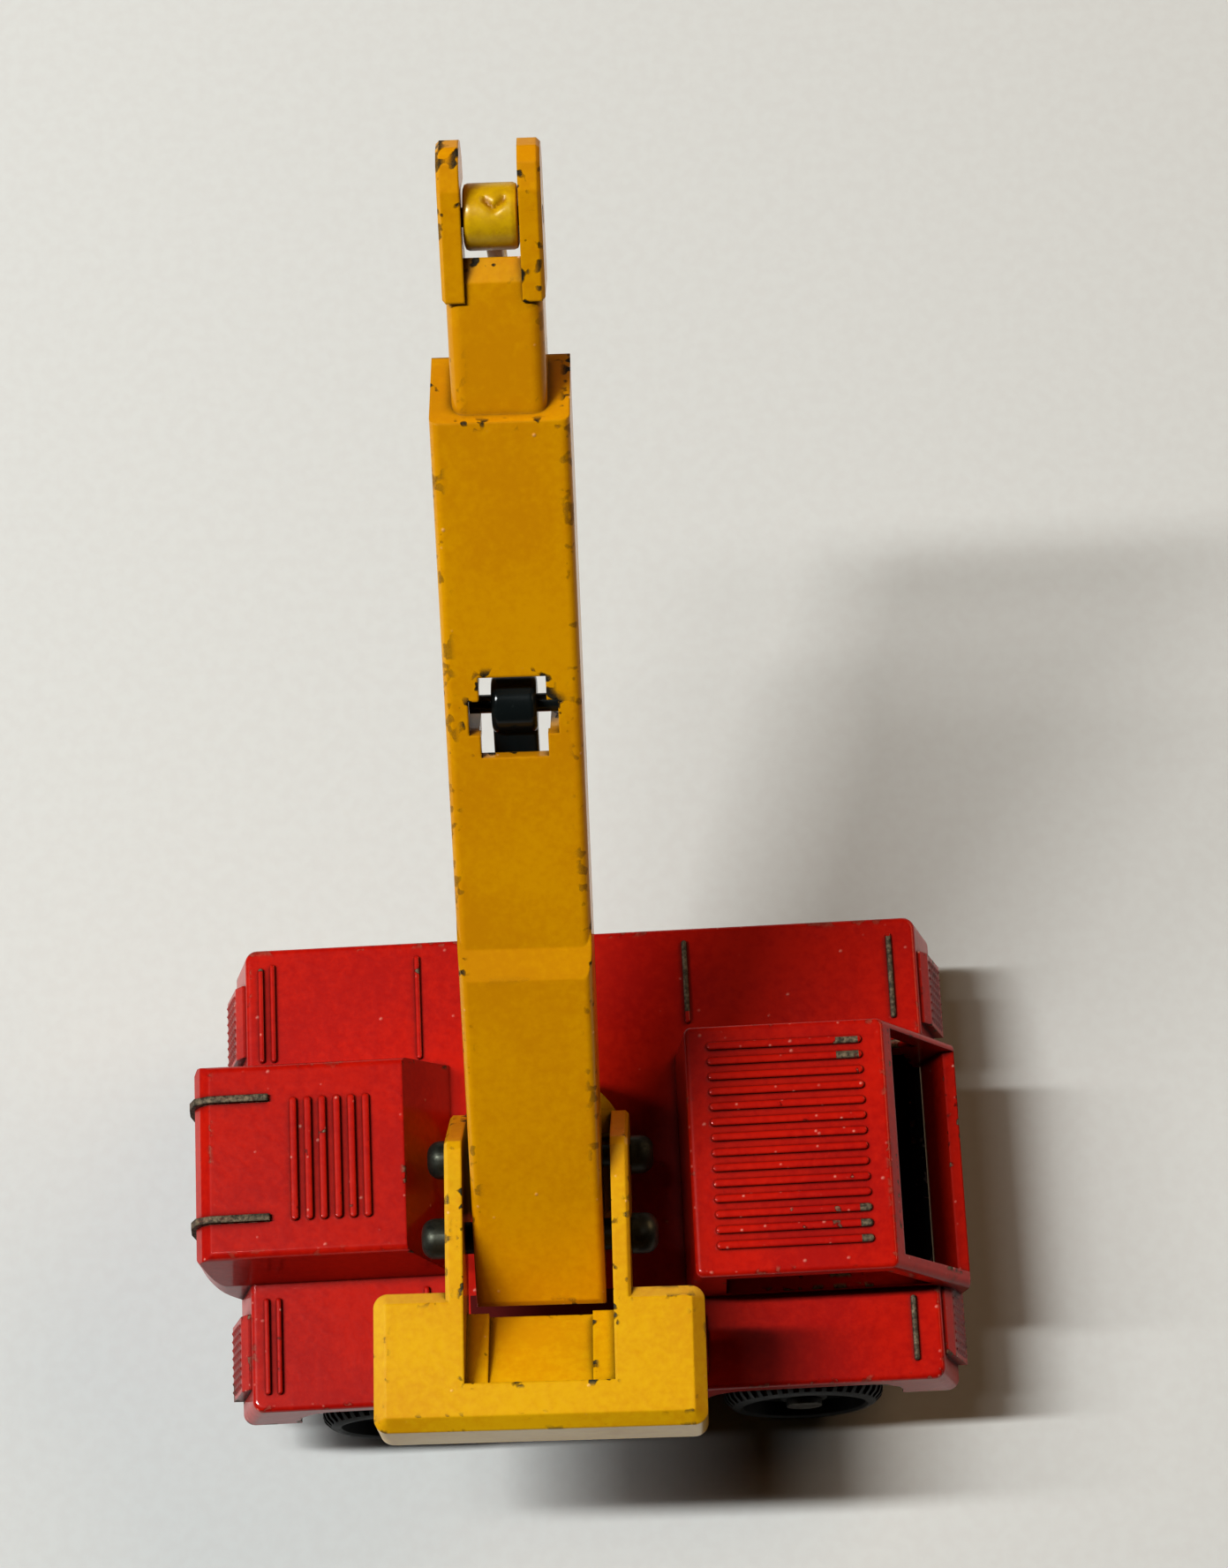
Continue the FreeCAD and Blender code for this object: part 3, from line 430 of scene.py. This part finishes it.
def step_pad(end, side):
    """Chequered diamonds standing on one sloping step of the body casting, in a darker copy of the
    red paint as painted shade.
    """
    body = frame["nodes"]["body_casting"]
    fine = PAD_PITCH / PAD_CELLS
    columns = round((PAD_Y[1] - PAD_Y[0]) / fine)
    rows = round((PAD_Z[1] - PAD_Z[0]) / fine)
    points, faces = [], []
    for row in range(rows + 1):
        for column in range(columns + 1):
            y = side * (PAD_Y[0] + column * fine)
            z = PAD_Z[0] + row * fine
            start = Vector((end * BEYOND_ENDS, y, z)) * MM
            _, spot, normal, _ = body.ray_cast(start, Vector((-end, 0, 0)))
            lift = PAD_SKIN + PAD_HEIGHT * max(0.0, 1 - off_centre(column) - off_centre(row))
            border = row in (0, rows) or column in (0, columns)
            points.append(spot / MM + normal * (PAD_ROOT if border else lift))
            if row < rows and column < columns:
                first = row * (columns + 1) + column
                faces.append((first, first + 1, first + columns + 2, first + columns + 1))
    place = ("front" if end > 0 else "rear") + ("_far" if side > 0 else "_near")
    add_piece("step_pad_" + place, points, faces, "red_paint", "chassis", "shaded_pad_paint")


HOOK_SHANK = (                    # y, z from the pivot, half width across, half thickness, mm
    (0, -1.0, 0.5, 0.55), (0, -2.2, 0.5, 0.53), (0, -3.4, 0.47, 0.5),
    (0, -4.6, 0.45, 0.46), (0.1, -5.3, 0.46, 0.44),
)
HOOK_DROP = 7.2                   # mm, pivot to the middle of the bowl
BOWL_RADIUS = 1.42
BOWL_START = 62                   # degrees above the level
BOWL_STEP = 17.3
BOWL_RINGS = 15
BOWL_HALF = 0.46                  # half thickness before the taper
BOWL_FULL_RINGS = 7               # rings before the taper starts
BOWL_TAPER = 0.02                 # per ring
BOWL_FLATNESS = 0.95
TIP_RINGS = ((0.12, 0.75), (0.18, 0.3))   # mm past the last ring, share of its width
HOOK_SIDES = 16
HOOK_SQUARENESS = 0.35            # 0 for a round section

BARREL_RADIUS = 1.72
BARREL_END = ((-1.4, 0.56), (-1.4, 1.45), (-1.33, 1.64), (-1.15, BARREL_RADIUS))
BARREL_SPAN = 20                  # steps of a tenth of a mm across the plain middle
BARREL_TURNS = 64
DENT_STROKES = (((-0.27, -4), (0.2, 13)), ((0.2, 13), (0.7, -4)))   # (across mm, degrees)
DENT_DEPTH = 0.22
DENT_WIDTH = 0.17


def hook_path():
    """(y, z, half width across, half thickness) down the shank and round the bowl."""
    path = list(HOOK_SHANK)
    for turn in range(BOWL_RINGS):
        angle = math.radians(BOWL_START - turn * BOWL_STEP)
        thinner = BOWL_TAPER * (turn - 1) if turn >= BOWL_FULL_RINGS else 0
        half = BOWL_HALF - thinner
        path.append((BOWL_RADIUS * math.cos(angle), BOWL_RADIUS * math.sin(angle) - HOOK_DROP,
                     half, half * BOWL_FLATNESS))
    y, z, wide, thick = path[-1]
    path += [(y, z + rise, wide * share, thick * share) for rise, share in TIP_RINGS]
    return path


def swept_hook():
    """(points, faces) of the hook's shank and bowl about its pivot."""
    path = hook_path()
    points, rings = [], []
    for i, (y, z, wide, thick) in enumerate(path):
        before, after = path[max(i - 1, 0)], path[min(i + 1, len(path) - 1)]
        run = Vector((0, after[0] - before[0], after[1] - before[1])).normalized()
        out = run.cross(Vector((1, 0, 0)))
        ring = []
        for side in range(HOOK_SIDES):
            angle = math.tau * side / HOOK_SIDES
            swell = max(abs(math.cos(angle)), abs(math.sin(angle))) ** -HOOK_SQUARENESS
            ring.append(len(points))
            points.append(Vector((wide * swell * math.cos(angle), y, z))
                          + out * (thick * swell * math.sin(angle)))
        rings.append(ring)
    return points, loft(rings, False) + [rings[0][::-1], rings[-1]]


def unrolled(across, degrees):
    """Point on the barrel's surface laid out flat, mm."""
    return Vector((across, math.radians(degrees) * BARREL_RADIUS))


def dent(across, degrees):
    """Depth pressed into the barrel at a point: a small V."""
    here = unrolled(across, degrees)
    gaps = []
    for first, last in DENT_STROKES:
        start = unrolled(*first)
        stroke = unrolled(*last) - start
        share = min(max((here - start).dot(stroke) / stroke.length_squared, 0), 1)
        gaps.append((here - start - stroke * share).length)
    return DENT_DEPTH * math.exp(-(min(gaps) / DENT_WIDTH) ** 2)


def hook_barrel():
    """(points, faces) of the dented cross barrel about the hook's pivot."""
    middle = [(step / 10 - 1, BARREL_RADIUS) for step in range(BARREL_SPAN + 1)]
    profile = [*BARREL_END, *middle, *((-across, radius) for across, radius in BARREL_END[::-1])]
    points, rings = [], []
    for turn in range(BARREL_TURNS):
        degrees = turn * 360 / BARREL_TURNS
        angle = math.radians(degrees)
        ring = []
        for across, radius in profile:
            from_top = (degrees + 180) % 360 - 180
            reach = radius - (dent(across, from_top) if radius == BARREL_RADIUS else 0)
            ring.append(len(points))
            points.append(Vector((across, -reach * math.sin(angle), reach * math.cos(angle))))
        rings.append(ring)
    return points, loft(rings, True)


def add_hook():
    """Hook and barrel as one moulding, hanging from the boom head."""
    swing = next(j for j in frame["record"]["behaviour"]["joints"] if j["name"] == "hook_swing")
    across = Vector(swing["axis"]).normalized()
    along = Vector((0, 0, 1)).cross(across)
    place = Matrix((across, along, (0, 0, 1))).transposed()
    points, faces = hook_barrel()
    more, extra = swept_hook()
    faces += [[i + len(points) for i in face] for face in extra]
    points = [place @ p + Vector(swing["pos_m"]) / MM for p in points + more]
    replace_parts(add_piece("moulded_hook", points, faces, "hook_plastic", "hook"), "hook")


def add_pieces():
    """Everything modelled here rather than in the CAD frame."""
    for name, nodes in frame["record"]["behaviour"]["bodies"].items():
        if name.endswith("_wheel"):
            treaded_wheel(nodes[0], name)
    for end in (-1, 1):
        for side in (-1, 1):
            step_pad(end, side)
    add_hook()


# --- floor, light and camera -------------------------------------------------------
FLOOR_SIZE = 4.0                  # m
CAMERA_AIM = (0.0063, 0.0240, 0.0034)
CAMERA_DISTANCE = 0.24752
CAMERA_TILT = 18.2127             # degrees from straight down
CAMERA_TURN = -1.1876
CAMERA_ROLL = -4.1026
LENS = 90.96
SHIFT = (-0.0132, 0.0197)


def add_floor():
    """Plain sheet the toy stands on."""
    bpy.ops.mesh.primitive_grid_add(x_subdivisions=8, y_subdivisions=8, size=FLOOR_SIZE)
    floor = bpy.context.object
    floor.name = "floor"
    floor.data.materials.append(paper("paper"))


def add_camera():
    """Camera over the toy at the measured tilt and roll."""
    data = bpy.data.cameras.new("camera")
    data.lens = LENS
    data.shift_x, data.shift_y = SHIFT
    data.clip_start, data.clip_end = 0.01, 10
    camera = bpy.data.objects.new("camera", data)
    bpy.context.scene.collection.objects.link(camera)
    tilt, turn = math.radians(CAMERA_TILT), math.radians(CAMERA_TURN)
    look = Vector((math.sin(tilt) * math.sin(turn), math.sin(tilt) * math.cos(turn), -math.cos(tilt)))
    level = look.cross(Vector((math.sin(turn), math.cos(turn), 0))).normalized()
    upward = level.cross(look)
    turned = Matrix.Rotation(math.radians(CAMERA_ROLL), 3, -look)
    right, up = turned @ level, turned @ upward
    pose = Matrix((right, up, -look)).transposed().to_4x4()
    pose.translation = Vector(CAMERA_AIM) - look * CAMERA_DISTANCE
    camera.matrix_world = pose
    bpy.context.scene.camera = camera


def add_area(name, place, size, power, colour):
    """Area light aimed at the toy."""
    data = bpy.data.lights.new(name, "AREA")
    data.shape = "RECTANGLE"
    data.size, data.size_y = size
    data.energy = power
    data.color = colour
    light = bpy.data.objects.new(name, data)
    bpy.context.scene.collection.objects.link(light)
    light.location = place
    light.rotation_mode = "QUATERNION"
    light.rotation_quaternion = (-Vector(place)).to_track_quat("-Z", "Y")
    return light


LAMP_HEIGHT = 0.8                 # m
LAMP_BACK = 0.055                 # lamps' distance behind the toy's middle, per unit of height
LAMP_WIDTH = 0.04
LAMP_COLOUR = (0.965, 1.0, 1.0)
STRAIGHT_DOWN = (1, 0, 0, 0)      # rotation of a lamp that faces the floor
ROOM_LAMP_PLACE = (0.62, 0.43, 0.53)
ROOM_LAMP_SIZE = (0.6, 0.5)
ROOM_LAMP_POWER = 2.2
ROOM_LAMP_COLOUR = (1.0, 0.72, 0.45)
ROOM_COLOUR = (1.0, 0.9, 0.8, 1)
ROOM_STRENGTH = 0.004
VIEW_GAMMA = 0.8
VIEW_EXPOSURE = 0.4
LAMP_ROW = (                      # sideways run from and to, per unit of height, and watts
    (-0.33, -0.14, 0.6), (-0.76, -0.33, 7.3), (-1.2, -0.76, 3.3),
)


def add_lights():
    """A long row of lamps overhead to the left, a weak warm one to the right, a dim room."""
    for number, (far, near, power) in enumerate(LAMP_ROW):
        place = (far + near) / 2 * LAMP_HEIGHT, LAMP_BACK * LAMP_HEIGHT, LAMP_HEIGHT
        size = (near - far) * LAMP_HEIGHT, LAMP_WIDTH
        lamp = add_area(f"lamp_{number}", place, size, power, LAMP_COLOUR)
        lamp.rotation_quaternion = STRAIGHT_DOWN
    add_area("room_lamp", ROOM_LAMP_PLACE, ROOM_LAMP_SIZE, ROOM_LAMP_POWER, ROOM_LAMP_COLOUR)
    world = bpy.data.worlds.new("room")
    world.use_nodes = True
    room = world.node_tree.nodes["Background"].inputs
    room["Color"].default_value = ROOM_COLOUR
    room["Strength"].default_value = ROOM_STRENGTH
    bpy.context.scene.world = world


def set_view():
    """Tone of the finished picture."""
    view = bpy.context.scene.view_settings
    view.view_transform = "Standard"
    view.gamma = VIEW_GAMMA
    view.exposure = VIEW_EXPOSURE


paint_nodes()
add_pieces()
add_floor()
add_camera()
add_lights()
set_view()
